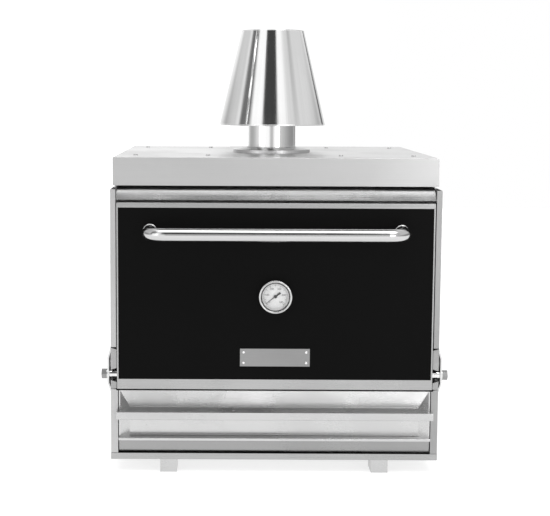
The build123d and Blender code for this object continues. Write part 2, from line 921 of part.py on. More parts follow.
def make_gauge_nut():
    """Nut that clamps the thermometer to the panel."""
    plane = Plane((0, panel_back_y, gauge_height), x_dir=(1, 0, 0), z_dir=(0, 1, 0))
    nut = extrude(plane * RegularPolygon(gauge_nut_flats / 2, 6, major_radius=False), gauge_nut_thickness)
    return nut - rod_y(probe_radius + probe_gap, door_y, door_back_y, 0, gauge_height)


# Hinges and seal


def across_y(points, y0, y1):
    """A prism along Y from an outline of (x, z) points."""
    outline = Plane((0, y0, 0), x_dir=(1, 0, 0), z_dir=(0, -1, 0)) * Polygon(*points, align=None)
    return extrude(outline, y1 - y0, dir=(0, 1, 0))


def make_hinge_bracket():
    """Right bracket: a bulged plate outside the side skin, solid behind the notch and open in front of it."""
    low = pivot_z - bracket_low_drop
    high = pivot_z + bracket_high_rise
    points = [
        (side_outer, pivot_z - bracket_foot_drop),
        (bracket_out, low),
        (bracket_out, high),
        (side_outer, pivot_z + bracket_top_rise),
    ]
    hollow = [
        (side_outer - bracket_plate, pivot_z - bracket_foot_drop),
        (bracket_in, low + bracket_plate / 4),
        (bracket_in, high - bracket_plate / 4),
        (side_outer - bracket_plate, pivot_z + bracket_top_rise),
    ]
    y0 = cabinet_y + bracket_front_setback
    bracket = across_y(points, y0, y0 + bracket_length)
    bracket -= across_y(hollow, y0, cabinet_y + notch_depth)
    bracket -= rod_x(pin_radius + pin_bracket_gap, side_inner, bracket_out + skin, pivot_y, pivot_z)
    for z in rivet_heights:
        bracket -= rod_x(rivet_shank_radius + rivet_shank_gap, side_inner, bracket_out + skin, rivet_y, z)
    return bracket


def make_hinge_pin():
    """Right hinge pin with a hexagonal head outside the bracket."""
    head_x = bracket_out + washer_thickness
    inner = door_half - pin_reach
    shank = rod_x(pin_radius, inner, head_x, pivot_y, pivot_z)
    head = hexagon_x(pin_head_flats, head_x, head_x + pin_head_thickness, pivot_y, pivot_z)
    head &= rod_x(pin_head_flats / 2 / cos(pi / 6) - pin_head_corner_cut, head_x, head_x + pin_head_thickness, pivot_y, pivot_z)
    return shank + head


def ring_on_pin(radius, x0, x1):
    """A plain ring round the hinge pin, and its twin on the other side."""
    ring = rod_x(radius, x0, x1, pivot_y, pivot_z)
    ring -= rod_x(pin_radius + pin_bracket_gap, x0 - skin, x1 + skin, pivot_y, pivot_z)
    return group([ring, mirrored(ring)])


def make_bracket_rivets():
    """Flush rivets through the brackets and the side skins, with flat heads inside."""
    rivets = []
    for z in rivet_heights:
        shank = rod_x(rivet_shank_radius, side_inner, bracket_out, rivet_y, z)
        head = rod_x(rivet_head_radius, side_inner - skin, side_inner, rivet_y, z)
        rivet = shank + head
        rivets += [rivet, mirrored(rivet)]
    return group(rivets)


def make_door_seal():
    """Rope seal on the front frame, round the chamber mouth."""
    y0 = door_back_y + seal_clearance
    inner_half = chamber_side + seal_margin
    inner_low = chamber_bottom - seal_margin
    inner_high = chamber_top + seal_margin
    outer = block(
        -inner_half - seal_width,
        inner_half + seal_width,
        y0,
        frame_y,
        inner_low - seal_width,
        inner_high + seal_width,
    )
    outer = fillet(outer.edges().filter_by(Axis.Y), seal_width)
    return outer - block(-inner_half, inner_half, y0, frame_y, inner_low, inner_high)


# Drawers


def cheek(low, high, back):
    """A slanted end wall of a recess, from the front plane back and inwards."""
    plane = Plane.XY.offset(low)
    points = [
        (drawer_half, cabinet_y),
        (drawer_half - cheek_run, back),
        (drawer_half - cheek_run - 2 * skin, back),
        (drawer_half - 2 * skin, cabinet_y),
    ]
    return extrude(plane * Polygon(*points, align=None), high - low, dir=(0, 0, 1))


def make_grease_drawer_front():
    """Upper drawer front: a sloping panel over a pull shelf that stands out in front of the stiles."""
    pull_y = door_y - pull_reach
    points = [(cabinet_y, grease_front_top), (grease_recess_y, pull_height), (pull_y, pull_height)]
    panel = folded_sheet(points, Side.LEFT, front_bend, -drawer_half, drawer_half)
    shelf_points = [
        (cabinet_y - 2 * skin, pull_height),
        (pull_y, pull_height),
        (pull_y, pull_height - pull_face),
        (pull_y + pull_return, pull_height - pull_face),
    ]
    shelf = folded_sheet(shelf_points, Side.LEFT, front_bend, -pull_half_width, pull_half_width)
    wedge_points = [(cabinet_y, grease_front_top), (grease_recess_y, pull_height), (cabinet_y, pull_height)]
    wedge = across_x(wedge_points, -drawer_half, drawer_half)
    end = cheek(pull_height, grease_front_top, grease_recess_y) & wedge
    return panel + shelf + end + mirrored(end)


def make_ash_drawer_front():
    """Lower drawer front: an upright recess over a ledge, and a face that falls back to the base."""
    ledge_y = door_y - ash_ledge_reach
    ledge_bottom = ash_ledge - ash_ledge_face
    points = [
        (ash_recess_y, ash_front_top),
        (ash_recess_y, ash_ledge),
        (ledge_y, ash_ledge),
        (ledge_y, ledge_bottom),
        (cabinet_y, ledge_bottom),
        (cabinet_y + ash_front_slope, ash_front_bottom),
    ]
    panel = folded_sheet(points, Side.LEFT, front_bend, -drawer_half, drawer_half)
    end = cheek(ash_ledge, ash_front_top, ash_recess_y)
    return panel + end + mirrored(end)


def make_pan(front, depth, bottom, top):
    """Open sheet pan behind a drawer front, with a flange down each long side."""
    y0 = front.bounding_box().max.Y
    y1 = y0 + depth
    outer = block(-pan_half_width, pan_half_width, y0, y1, bottom, top)
    inner = block(
        -pan_half_width + pan_skin, pan_half_width - pan_skin, y0 + pan_skin, y1 - pan_skin, bottom + pan_skin, top
    )
    flange = block(pan_half_width, pan_half_width + pan_flange, y0 + rail_start, y1, top - pan_skin, top)
    return outer - inner + flange + mirrored(flange)


def make_drawer_rails():
    """Angles on the side skins under the pans' flanges."""
    rails = []
    drawers = ((grease_recess_y, grease_pan_depth, grease_pan_top), (ash_recess_y, ash_pan_depth, ash_pan_top))
    for front, depth, top in drawers:
        y0 = front + skin + rail_start
        y1 = front + skin + depth
        high = top - pan_skin - rail_gap
        inner = pan_half_width + pan_flange - rail_overlap
        shelf = block(inner, side_inner, y0, y1, high - rail_thickness, high)
        upright = block(side_inner - rail_thickness, side_inner, y0, y1, high - rail_upright, high)
        rail = shelf + upright
        rails += [rail, mirrored(rail)]
    return group(rails)


os.makedirs("parts", exist_ok=True)

save("base_tray", make_base_tray())
save("feet", make_feet())
right_side_panel = make_side_panel()
save("right_side_panel", right_side_panel)
save("left_side_panel", mirrored(right_side_panel))
save("back_panel", make_back_panel())
save("front_frame", make_front_frame())
save("drip_hood", make_hood())
save("hood_tab", make_hood_tab())
save("top_cover", make_top_cover())
save("cover_screws", make_cover_screws())

save("cooking_chamber", make_chamber())
save("side_insulation", make_side_insulation())
save("top_insulation", make_top_insulation())
save("back_insulation", make_back_insulation())
save("floor_insulation", make_floor_insulation())
save("ash_chute", make_ash_chute())
save("grate_ledges", make_grate_ledges())
save("ember_grate", make_ember_grate())
save("grill_runners", make_grill_runners())
save("lower_grill", make_grill(grill_heights[0]))
save("upper_grill", make_grill(grill_heights[1]))

save("flue_pipe", make_flue_pipe())
save("flue_flange", make_flue_flange())
save("flue_hat", make_hat())
save("hat_straps", make_hat_straps())
save("spark_screen", make_spark_screen())
save("damper_valve", make_damper_valve())
save("damper_lever", make_damper_lever())

save("door_frame", make_door_frame())
save("door_front_panel", make_door_panel())
save("door_inner_plate", make_door_inner_plate())
save("door_insulation", make_door_insulation())
save("hinge_blocks", make_hinge_blocks())
save("door_handle", make_handle())
save("handle_rosettes", make_handle_rosettes())
save("handle_studs", make_handle_studs())
save("blank_plate", make_plate())
save("plate_rivets", make_plate_rivets())

save("thermometer_case", make_gauge_case())
save("thermometer_dial", make_gauge_dial())
save("thermometer_lens", make_gauge_lens())
save("thermometer_needle", make_gauge_needle())
save("thermometer_probe", make_gauge_probe())
save("thermometer_nut", make_gauge_nut())

right_bracket = make_hinge_bracket()
save("right_hinge_bracket", right_bracket)
save("left_hinge_bracket", mirrored(right_bracket))
right_pin = make_hinge_pin()
save("right_hinge_pin", right_pin)
save("left_hinge_pin", mirrored(right_pin))
save("hinge_washers", ring_on_pin(washer_radius, bracket_out, bracket_out + washer_thickness))
save("hinge_bushes", ring_on_pin(bush_radius, door_half + bush_end_gap, bracket_in))
save("bracket_rivets", make_bracket_rivets())
save("door_seal", make_door_seal())

grease_front = make_grease_drawer_front()
save("grease_drawer_front", grease_front)
save("grease_pan", make_pan(grease_front, grease_pan_depth, grease_pan_bottom, grease_pan_top))
ash_front = make_ash_drawer_front()
save("ash_drawer_front", ash_front)
save("ash_pan", make_pan(ash_front, ash_pan_depth, ash_pan_bottom, ash_pan_top))
save("drawer_rails", make_drawer_rails())
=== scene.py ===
from math import cos, pi, radians, sin

import bmesh
import bpy
from mathutils import Matrix, Vector


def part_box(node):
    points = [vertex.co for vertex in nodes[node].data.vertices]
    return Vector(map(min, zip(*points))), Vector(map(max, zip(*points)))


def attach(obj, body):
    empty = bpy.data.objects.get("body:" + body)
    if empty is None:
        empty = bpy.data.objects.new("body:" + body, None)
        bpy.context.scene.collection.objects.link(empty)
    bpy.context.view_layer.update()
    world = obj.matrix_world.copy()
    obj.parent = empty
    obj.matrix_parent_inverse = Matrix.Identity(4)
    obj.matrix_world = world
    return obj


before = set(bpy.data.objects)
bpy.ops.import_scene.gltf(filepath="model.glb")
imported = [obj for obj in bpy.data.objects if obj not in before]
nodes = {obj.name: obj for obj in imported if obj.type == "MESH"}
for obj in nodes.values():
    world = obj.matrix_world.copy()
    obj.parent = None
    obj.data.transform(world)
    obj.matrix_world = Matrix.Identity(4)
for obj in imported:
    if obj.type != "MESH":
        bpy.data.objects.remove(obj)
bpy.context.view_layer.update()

scene = bpy.context.scene

# Camera, as the photograph was taken: in front of the door, a little left of its middle and a little
# above the cover, pitched down 5.5 degrees. It leans by a quarter of a degree, as the picture does.
camera_place = (-0.103, -2.8235, 0.8451)
camera_pitch = radians(90.0 - 5.5)
camera_lean = radians(0.27)
lens = bpy.data.cameras.new("front_camera")
lens.sensor_width = 36.0
lens.lens = 76.0
lens.shift_x = 0.0827
lens.shift_y = -0.0904
camera = bpy.data.objects.new("front_camera", lens)
scene.collection.objects.link(camera)
camera.matrix_world = (
    Matrix.Translation(camera_place)
    @ Matrix.Rotation(camera_pitch, 4, "X")
    @ Matrix.Rotation(camera_lean, 4, "Z")
)
scene.camera = camera
scene.view_settings.view_transform = "Standard"

# Studio: a white room that the camera sees as plain white. The polished steel sees soft-edged cards in
# it: most are grey and take light away, and those that leave more than 1 are bright panels.
room_light = 1.22
white = (1.0, 1.0, 1.0, 1.0)
world = bpy.data.worlds.new("studio_room")
scene.world = world
world.use_nodes = True
room = world.node_tree
room.nodes.clear()


def feed(tree, value, socket):
    """Sets the socket to a number, or links another socket to it."""
    if isinstance(value, (int, float)):
        socket.default_value = value
    else:
        tree.links.new(value, socket)


def maths(tree, kind, *values):
    """One Math node; each value is a number or a socket."""
    node = tree.nodes.new("ShaderNodeMath")
    node.operation = kind
    for socket, value in zip(node.inputs, values):
        feed(tree, value, socket)
    return node.outputs[0]


def soft_step(tree, value, low, high):
    """1 below low, falling smoothly to 0 at high."""
    node = tree.nodes.new("ShaderNodeMapRange")
    node.interpolation_type = "SMOOTHSTEP"
    tree.links.new(value, node.inputs["Value"])
    node.inputs["From Min"].default_value = low
    node.inputs["From Max"].default_value = high
    node.inputs["To Min"].default_value = 1.0
    node.inputs["To Max"].default_value = 0.0
    return node.outputs["Result"]


def split(tree, vector):
    """The X, Y and Z sockets of a vector."""
    node = tree.nodes.new("ShaderNodeSeparateXYZ")
    tree.links.new(vector, node.inputs[0])
    return node.outputs


axes = split(room, room.nodes.new("ShaderNodeTexCoord").outputs["Generated"])
forwards = maths(room, "MULTIPLY", axes["Y"], -1.0)
azimuth = maths(room, "DEGREES", maths(room, "ARCTAN2", axes["X"], forwards))
elevation = maths(room, "DEGREES", maths(room, "ARCSINE", axes["Z"]))

# Each card is its azimuth, half width, elevation, half height and soft edge, in degrees, and the light
# that it leaves. Azimuth 0 is in front of the door, and a card behind is listed at 180 and at -180.
cards = [
    (-6, 17, 32, 17, 3, 0.05),
    (-2, 9, 1, 9, 6, 0.50),
    (-66, 14, 30, 24, 5, 0.15),
    (-108, 24, 30, 26, 10, 0.62),
    (-115, 40, 0, 12, 35, 0.40),
    (80, 48, 25, 50, 8, 0.68),
    (57, 6, 30, 8, 5, 0.65),
    (120, 60, 0, 12, 50, 0.40),
    (142, 5, 25, 40, 3, 0.20),
    (0, 90, 74, 16, 6, 2.60),
    (180, 90, 88, 26, 6, 0.12),
    (-180, 90, 88, 26, 6, 0.12),
    (180, 50, 4, 9, 12, 1.30),
    (-180, 50, 4, 9, 12, 1.30),
]
upright_edge = 6.0
light = room.nodes.new("ShaderNodeValue").outputs[0]
light.default_value = room_light
for centre, half_width, height, half_height, edge, left in cards:
    across = maths(room, "ABSOLUTE", maths(room, "SUBTRACT", azimuth, centre))
    upwards = maths(room, "ABSOLUTE", maths(room, "SUBTRACT", elevation, height))
    in_width = soft_step(room, across, half_width - edge, half_width + edge)
    in_height = soft_step(room, upwards, half_height - upright_edge, half_height + upright_edge)
    on_card = maths(room, "MULTIPLY", in_width, in_height)
    kept = maths(room, "SUBTRACT", 1.0, maths(room, "MULTIPLY", on_card, 1.0 - left))
    light = maths(room, "MULTIPLY", light, kept)
seen = room.nodes.new("ShaderNodeLightPath")
sky = room.nodes.new("ShaderNodeBackground")
sky.inputs["Color"].default_value = white
room.links.new(maths(room, "MAXIMUM", light, seen.outputs["Is Camera Ray"]), sky.inputs["Strength"])
room_output = room.nodes.new("ShaderNodeOutputWorld")
room.links.new(sky.outputs[0], room_output.inputs["Surface"])

# Lights: a large soft box over the right shoulder, a low one at the right front that brightens the
# cover's skirt towards its right end, and a low fill from the left. All aim at the oven's middle.
oven_middle = Vector((0.0, 0.0, 0.45))
for name, place, size, power in (
    ("right_softbox", (1.4, -1.6, 3.6), 1.6, 26.0),
    ("right_front_box", (1.25, -2.5, 0.85), 0.8, 5.0),
    ("left_fill", (-2.2, -1.8, 0.9), 1.4, 6.0),
):
    lamp = bpy.data.lights.new(name, "AREA")
    lamp.size = size
    lamp.energy = power
    holder = bpy.data.objects.new(name, lamp)
    scene.collection.objects.link(holder)
    aim = (oven_middle - Vector(place)).to_track_quat("-Z", "Y")
    holder.matrix_world = Matrix.Translation(place) @ aim.to_matrix().to_4x4()

# Floor: a plain pale sheet, wide enough for every view. It is lit from below like a studio's light
# table, so it runs into the white room without a horizon and keeps only a faint shadow.
floor_size = 6.0
floor_mesh = bmesh.new()
bmesh.ops.create_grid(floor_mesh, x_segments=1, y_segments=1, size=floor_size)
floor_data = bpy.data.meshes.new("floor")
floor_mesh.to_mesh(floor_data)
floor_mesh.free()
floor = bpy.data.objects.new("floor", floor_data)
scene.collection.objects.link(floor)
pale = bpy.data.materials.new("pale_floor")
pale.use_nodes = True
floor_shader = pale.node_tree.nodes["Principled BSDF"].inputs
floor_shader["Base Color"].default_value = (0.42, 0.42, 0.42, 1.0)
floor_shader["Roughness"].default_value = 0.9
floor_shader["Emission Color"].default_value = white
floor_shader["Emission Strength"].default_value = 0.72
floor_data.materials.append(pale)

# Stainless sheet: the cover with its screws, the skins, hood, door border, tray, feet, grease drawer's
# front and plate. It is cut and folded, brushed along its length, and carries faint wipe marks.


def new_group(name, inputs, outputs):
    """An empty shader group with named sockets; an input is (name, kind, start value)."""
    group = bpy.data.node_groups.new(name, "ShaderNodeTree")
    for socket, kind, start in inputs:
        made = group.interface.new_socket(socket, in_out="INPUT", socket_type="NodeSocket" + kind)
        if start is not None:
            made.default_value = start
    for socket, kind in outputs:
        group.interface.new_socket(socket, in_out="OUTPUT", socket_type="NodeSocket" + kind)
    return group, group.nodes.new("NodeGroupInput").outputs, group.nodes.new("NodeGroupOutput").inputs


def noise(tree, vector, scale, detail=3.0, rough=0.5):
    """One Noise Texture node's factor; the scale is a number or a socket."""
    node = tree.nodes.new("ShaderNodeTexNoise")
    tree.links.new(vector, node.inputs["Vector"])
    node.inputs["Detail"].default_value = detail
    node.inputs["Roughness"].default_value = rough
    feed(tree, scale, node.inputs["Scale"])
    return node.outputs["Fac"]


def between(tree, factor, low, high):
    """low at factor 0 and high at factor 1; each end is a number or a socket."""
    node = tree.nodes.new("ShaderNodeMapRange")
    tree.links.new(factor, node.inputs["Value"])
    feed(tree, low, node.inputs["To Min"])
    feed(tree, high, node.inputs["To Max"])
    return node.outputs["Result"]


# Brushing: fine lines that run along the axis that the vector stretches least.
brushing, given, made = new_group(
    "brushing",
    [
        ("Vector", "Vector", None),
        ("Smoothest", "Float", 0.2),
        ("Roughest", "Float", 0.4),
        ("Contrast", "Float", 0.1),
    ],
    [("Tone", "Float"), ("Roughness", "Float"), ("Height", "Float")],
)
lines = noise(brushing, given["Vector"], 1.0, detail=4.0, rough=0.65)
off_middle = maths(brushing, "SUBTRACT", lines, 0.5)
feed(brushing, maths(brushing, "MULTIPLY_ADD", off_middle, given["Contrast"], 1.0), made["Tone"])
feed(brushing, between(brushing, lines, given["Smoothest"], given["Roughest"]), made["Roughness"])
feed(brushing, lines, made["Height"])

# Handling: cloudy wipe marks that dull and darken the surface a little in patches.
handling, given, made = new_group(
    "handling",
    [("Vector", "Vector", None), ("Patch Scale", "Float", 6.0), ("Dulling", "Float", 0.1)],
    [("Tone", "Float"), ("Roughness", "Float")],
)
clean_below, wiped_above = 0.42, 0.66
darkening = -0.6
clouds = noise(handling, given["Vector"], given["Patch Scale"], detail=5.0, rough=0.55)
wiped = between(handling, soft_step(handling, clouds, clean_below, wiped_above), 1.0, 0.0)
darker = maths(handling, "MULTIPLY", given["Dulling"], darkening)
feed(handling, maths(handling, "MULTIPLY_ADD", wiped, darker, 1.0), made["Tone"])
feed(handling, maths(handling, "MULTIPLY", wiped, given["Dulling"]), made["Roughness"])


def use_group(tree, group, **values):
    """Places a group in a material; underscores in the names stand for spaces."""
    node = tree.nodes.new("ShaderNodeGroup")
    node.node_tree = group
    for name, value in values.items():
        feed(tree, value, node.inputs[name.replace("_", " ")])
    return node.outputs


def grey(level):
    """A neutral colour."""
    return (level, level, level)


def start_material(name, colour, **constants):
    """A Principled material with its constants set on the shader's own sockets."""
    material = bpy.data.materials.new(name)
    material.use_nodes = True
    tree = material.node_tree
    shader = tree.nodes["Principled BSDF"]
    shader.inputs["Base Color"].default_value = (*colour, 1.0)
    for key, value in constants.items():
        shader.inputs[key.replace("_", " ")].default_value = value
    return material, tree, shader


def place_on(tree, scale=(1.0, 1.0, 1.0), move=(0.0, 0.0, 0.0)):
    """Object coordinates, stretched and then moved."""
    where = tree.nodes.new("ShaderNodeTexCoord")
    mapping = tree.nodes.new("ShaderNodeMapping")
    mapping.inputs["Scale"].default_value = scale
    mapping.inputs["Location"].default_value = move
    tree.links.new(where.outputs["Object"], mapping.inputs["Vector"])
    return mapping.outputs["Vector"]


def tint(tree, shader, tone):
    """Makes the shader's colour lighter or darker by a tone that varies over the surface."""
    colour = shader.inputs["Base Color"]
    node = tree.nodes.new("ShaderNodeVectorMath")
    node.operation = "SCALE"
    node.inputs[0].default_value = colour.default_value[:3]
    if colour.is_linked:
        tree.links.new(colour.links[0].from_socket, node.inputs[0])
    tree.links.new(tone, node.inputs["Scale"])
    tree.links.new(node.outputs["Vector"], colour)


def roughen(tree, shader, roughness):
    """Gives the shader a roughness that varies over the surface."""
    tree.links.new(roughness, shader.inputs["Roughness"])


def relief(tree, shader, height, depth):
    """Bumps the shader's normal; depth is in metres."""
    bump = tree.nodes.new("ShaderNodeBump")
    bump.inputs["Distance"].default_value = depth
    tree.links.new(height, bump.inputs["Height"])
    tree.links.new(bump.outputs["Normal"], shader.inputs["Normal"])


def brush(tree, shader, vector, smooth, rough, contrast, dull, patch, depth):
    """Brushes a surface along the vector's grain and wipes it: its tone, roughness and relief."""
    grain = use_group(tree, brushing, Vector=vector, Smoothest=smooth, Roughest=rough, Contrast=contrast)
    marks = use_group(tree, handling, Vector=place_on(tree), Patch_Scale=patch, Dulling=dull)
    tint(tree, shader, maths(tree, "MULTIPLY", grain["Tone"], marks["Tone"]))
    roughen(tree, shader, maths(tree, "ADD", grain["Roughness"], marks["Roughness"]))
    relief(tree, shader, grain["Height"], depth)


def steel_sheet(name, colour, stretch, smooth, rough, contrast=0.10, dull=0.08, patch=5.0):
    """Steel with a grain, which runs along the axis with the smallest number in stretch."""
    material, tree, shader = start_material(name, colour, Metallic=1.0)
    brush(tree, shader, place_on(tree, stretch), smooth, rough, contrast, dull, patch, depth=0.00002)
    return material


def dress(material, *names):
    """Gives CAD nodes their finish."""
    for name in names:
        for place in nodes[name].material_slots:
            place.material = material


cover_steel = steel_sheet("cover_steel", grey(0.53), (6.0, 700.0, 700.0), smooth=0.24, rough=0.40)
front_steel = steel_sheet("front_steel", grey(0.56), (5.0, 800.0, 800.0), smooth=0.16, rough=0.30)
hood_steel = steel_sheet(
    "hood_steel", grey(0.42), (5.0, 500.0, 500.0), smooth=0.14, rough=0.30, contrast=0.24
)
side_steel = steel_sheet("side_steel", grey(0.50), (700.0, 5.0, 700.0), smooth=0.24, rough=0.42)
# The right skin is the same steel as the left, given a darker colour: painted shade on that side of the
# oven.
painted_shade_steel = steel_sheet("painted_shade_steel", grey(0.36), (700.0, 5.0, 700.0), smooth=0.24, rough=0.42)
back_steel = steel_sheet("back_steel", grey(0.42), (5.0, 700.0, 700.0), smooth=0.28, rough=0.46)
plate_steel = steel_sheet("plate_steel", grey(0.30), (12.0, 1200.0, 1200.0), smooth=0.28, rough=0.42)
dress(cover_steel, "top_cover", "cover_screws")
dress(front_steel, "grease_drawer_front", "feet")
dress(hood_steel, "drip_hood", "hood_tab", "door_frame", "base_tray")
dress(side_steel, "left_side_panel")
dress(painted_shade_steel, "right_side_panel")
dress(back_steel, "back_panel")
dress(plate_steel, "blank_plate")

# Ash drawer front: the same brushed sheet, folded. The leaning face under its ledge is painted darker, a
# painted shade, and the face above the ledge is painted a little lighter.
lower_face_height = 0.0305
fold_width = 0.002
tone_over_ledge, tone_under_ledge = 1.06, 0.62
ledge_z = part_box("ash_drawer_front")[0].z + lower_face_height
ash_drawer_steel = front_steel.copy()
ash_drawer_steel.name = "ash_drawer_steel"
tree = ash_drawer_steel.node_tree
height = split(tree, place_on(tree))["Z"]
under_ledge = soft_step(tree, height, ledge_z - fold_width / 2, ledge_z + fold_width / 2)
# Painted shade under the ledge, and a slightly lighter painted tone above it.
painted_shade_tone = between(tree, under_ledge, tone_over_ledge, tone_under_ledge)
tint(tree, tree.nodes["Principled BSDF"], painted_shade_tone)
dress(ash_drawer_steel, "ash_drawer_front")

# Inner steelwork: frame plate, door back, hinge blocks, pans, rails, studs, rivets, and the stem and
# nut of the thermometer. It is cut and folded from plain steel, with the dull skin of the mill.
mill_steel = steel_sheet(
    "mill_steel", grey(0.42), (20.0, 300.0, 300.0),
    smooth=0.34, rough=0.55, contrast=0.18, dull=0.14, patch=9.0,
)
dress(
    mill_steel, "front_frame", "door_inner_plate", "hinge_blocks", "drawer_rails", "grease_pan", "ash_pan",
    "thermometer_nut", "bracket_rivets", "handle_studs", "thermometer_probe",
)

# Hot parts: the chamber, chute, ledges, runners, damper, its lever and the spark screen, in plain
# steel. Heat has left them dark, with brown scale in patches.
scale_skin, tree, shader = start_material("scale_skin", (0.10, 0.095, 0.09), Metallic=0.7)
flakes = noise(tree, place_on(tree), 14.0, detail=8.0, rough=0.65)
specks = noise(tree, place_on(tree), 160.0, detail=4.0, rough=0.6)
ramp = tree.nodes.new("ShaderNodeValToRGB")
ramp.color_ramp.elements[0].position = 0.35
ramp.color_ramp.elements[0].color = (0.045, 0.042, 0.040, 1.0)
ramp.color_ramp.elements[1].position = 0.68
ramp.color_ramp.elements[1].color = (0.17, 0.15, 0.135, 1.0)
tree.links.new(flakes, ramp.inputs["Fac"])
tree.links.new(ramp.outputs["Color"], shader.inputs["Base Color"])
roughen(tree, shader, between(tree, specks, 0.45, 0.75))
relief(tree, shader, specks, depth=0.00015)
dress(
    scale_skin, "cooking_chamber", "ash_chute", "grate_ledges", "grill_runners", "damper_valve",
    "damper_lever", "spark_screen",
)

# Ember grate: sand cast in iron, so its skin is coarse. Pale ash is caught in patches of its
# pores.
cast_skin, tree, shader = start_material("cast_skin", grey(0.05), Metallic=0.4)
grit = noise(tree, place_on(tree), 420.0, detail=5.0, rough=0.6)
bare_iron = soft_step(tree, noise(tree, place_on(tree), 25.0, detail=5.0, rough=0.6), 0.40, 0.62)
tint(tree, shader, between(tree, bare_iron, 1.6, 0.8))
roughen(tree, shader, between(tree, grit, 0.6, 0.9))
relief(tree, shader, grit, depth=0.0004)
dress(cast_skin, "ember_grate")

# Grills: drawn steel rod, cut and welded into two flat frames of bars. Fat and heat have browned
# them.
rod_steel = steel_sheet(
    "rod_steel", (0.34, 0.32, 0.30), (90.0, 20.0, 90.0),
    smooth=0.30, rough=0.50, contrast=0.3, dull=0.2, patch=16.0,
)
dress(rod_steel, "lower_grill", "upper_grill")

# Fibre slabs: cream mineral wool behind the skins, over the chamber, under it and in the door. It is
# matted in layers, so it is soft and uneven.
fibre_wool, tree, shader = start_material("fibre_wool", (0.70, 0.68, 0.60), Sheen_Weight=0.3)
matting = noise(tree, place_on(tree, (60.0, 60.0, 240.0)), 1.0, detail=6.0, rough=0.7)
tint(tree, shader, between(tree, matting, 0.7, 1.15))
roughen(tree, shader, between(tree, matting, 0.85, 1.0))
relief(tree, shader, matting, depth=0.001)
dress(
    fibre_wool, "side_insulation", "top_insulation", "back_insulation", "floor_insulation",
    "door_insulation",
)

# Rope seal: a rope of braided glass fibre, laid round the chamber's mouth. Smoke has turned it grey.
# The braid is a slanting wave.
rope_braid, tree, shader = start_material("rope_braid", (0.22, 0.21, 0.20), Sheen_Weight=0.2)
wave = tree.nodes.new("ShaderNodeTexWave")
wave.bands_direction = "DIAGONAL"
wave.inputs["Scale"].default_value = 90.0
wave.inputs["Distortion"].default_value = 1.5
tree.links.new(place_on(tree), wave.inputs["Vector"])
braid = wave.outputs["Fac"]
tint(tree, shader, between(tree, braid, 0.6, 1.25))
roughen(tree, shader, between(tree, braid, 1.0, 0.8))
relief(tree, shader, braid, depth=0.0008)
dress(rope_braid, "door_seal")

# Door panel: sheet steel with a baked matt-black coat. The coat is slightly pebbled and carries faint
# wipe marks.
black_coat, tree, shader = start_material("black_coat", grey(0.003), Specular_IOR_Level=0.05)
pebble = noise(tree, place_on(tree), 900.0)
marks = use_group(tree, handling, Vector=place_on(tree), Patch_Scale=4.0, Dulling=0.10)
tint(tree, shader, marks["Tone"])
roughen(tree, shader, maths(tree, "ADD", between(tree, pebble, 0.30, 0.42), marks["Roughness"]))
relief(tree, shader, pebble, depth=0.00003)
dress(black_coat, "door_front_panel")

# Polished fittings: the handle, thermometer case, bushes, plate rivets and hat straps are buffed
# stainless, the brackets, washers and flange satin, and the pins duller. Only faint swirls show.


def polished_steel(name, colour, smooth, rough, swirl):
    """Buffed stainless with swirls; a larger swirl number makes them finer."""
    material, tree, shader = start_material(name, colour, Metallic=1.0)
    swirls = noise(tree, place_on(tree), swirl, detail=4.0, rough=0.6)
    marks = use_group(tree, handling, Vector=place_on(tree), Patch_Scale=9.0, Dulling=0.05)
    tint(tree, shader, marks["Tone"])
    roughen(tree, shader, maths(tree, "ADD", between(tree, swirls, smooth, rough), marks["Roughness"]))
    relief(tree, shader, swirls, depth=0.00001)
    return material


buffed_steel = polished_steel("buffed_steel", grey(0.78), smooth=0.05, rough=0.12, swirl=30.0)
handle_steel = polished_steel("handle_steel", grey(0.58), smooth=0.10, rough=0.18, swirl=40.0)
satin_steel = polished_steel("satin_steel", grey(0.66), smooth=0.25, rough=0.38, swirl=60.0)
bolt_steel = polished_steel("bolt_steel", grey(0.30), smooth=0.22, rough=0.34, swirl=90.0)
dress(handle_steel, "door_handle", "handle_rosettes")
dress(buffed_steel, "thermometer_case", "hinge_bushes", "plate_rivets", "hat_straps")
dress(satin_steel, "right_hinge_bracket", "left_hinge_bracket", "hinge_washers", "flue_flange")
dress(bolt_steel, "right_hinge_pin", "left_hinge_pin")

# Bracket lips: each hinge bracket's front edge is folded inwards across the notch, above and below the
# pin, so the notch doesn't gape. Each lip is an extruded strip of mill steel with a leaning free end.


def new_piece(name, mesh, material, body, smooth=True):
    """Turns a finished bmesh into an object with outward normals that rides on a body."""
    bmesh.ops.recalc_face_normals(mesh, faces=mesh.faces)
    data = bpy.data.meshes.new(name)
    mesh.to_mesh(data)
    mesh.free()
    for face in data.polygons:
        face.use_smooth = smooth
    data.materials.append(material)
    piece = bpy.data.objects.new(name, data)
    scene.collection.objects.link(piece)
    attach(piece, body)
    return piece


def extrude_outline(mesh, corners, thickness):
    """Adds a flat outline to the mesh and thickens it along Y."""
    face = mesh.faces.new([mesh.verts.new(corner) for corner in corners])
    thick = bmesh.ops.extrude_face_region(mesh, geom=[face])["geom"]
    moved = [part for part in thick if isinstance(part, bmesh.types.BMVert)]
    bmesh.ops.translate(mesh, vec=(0.0, thickness, 0.0), verts=moved)


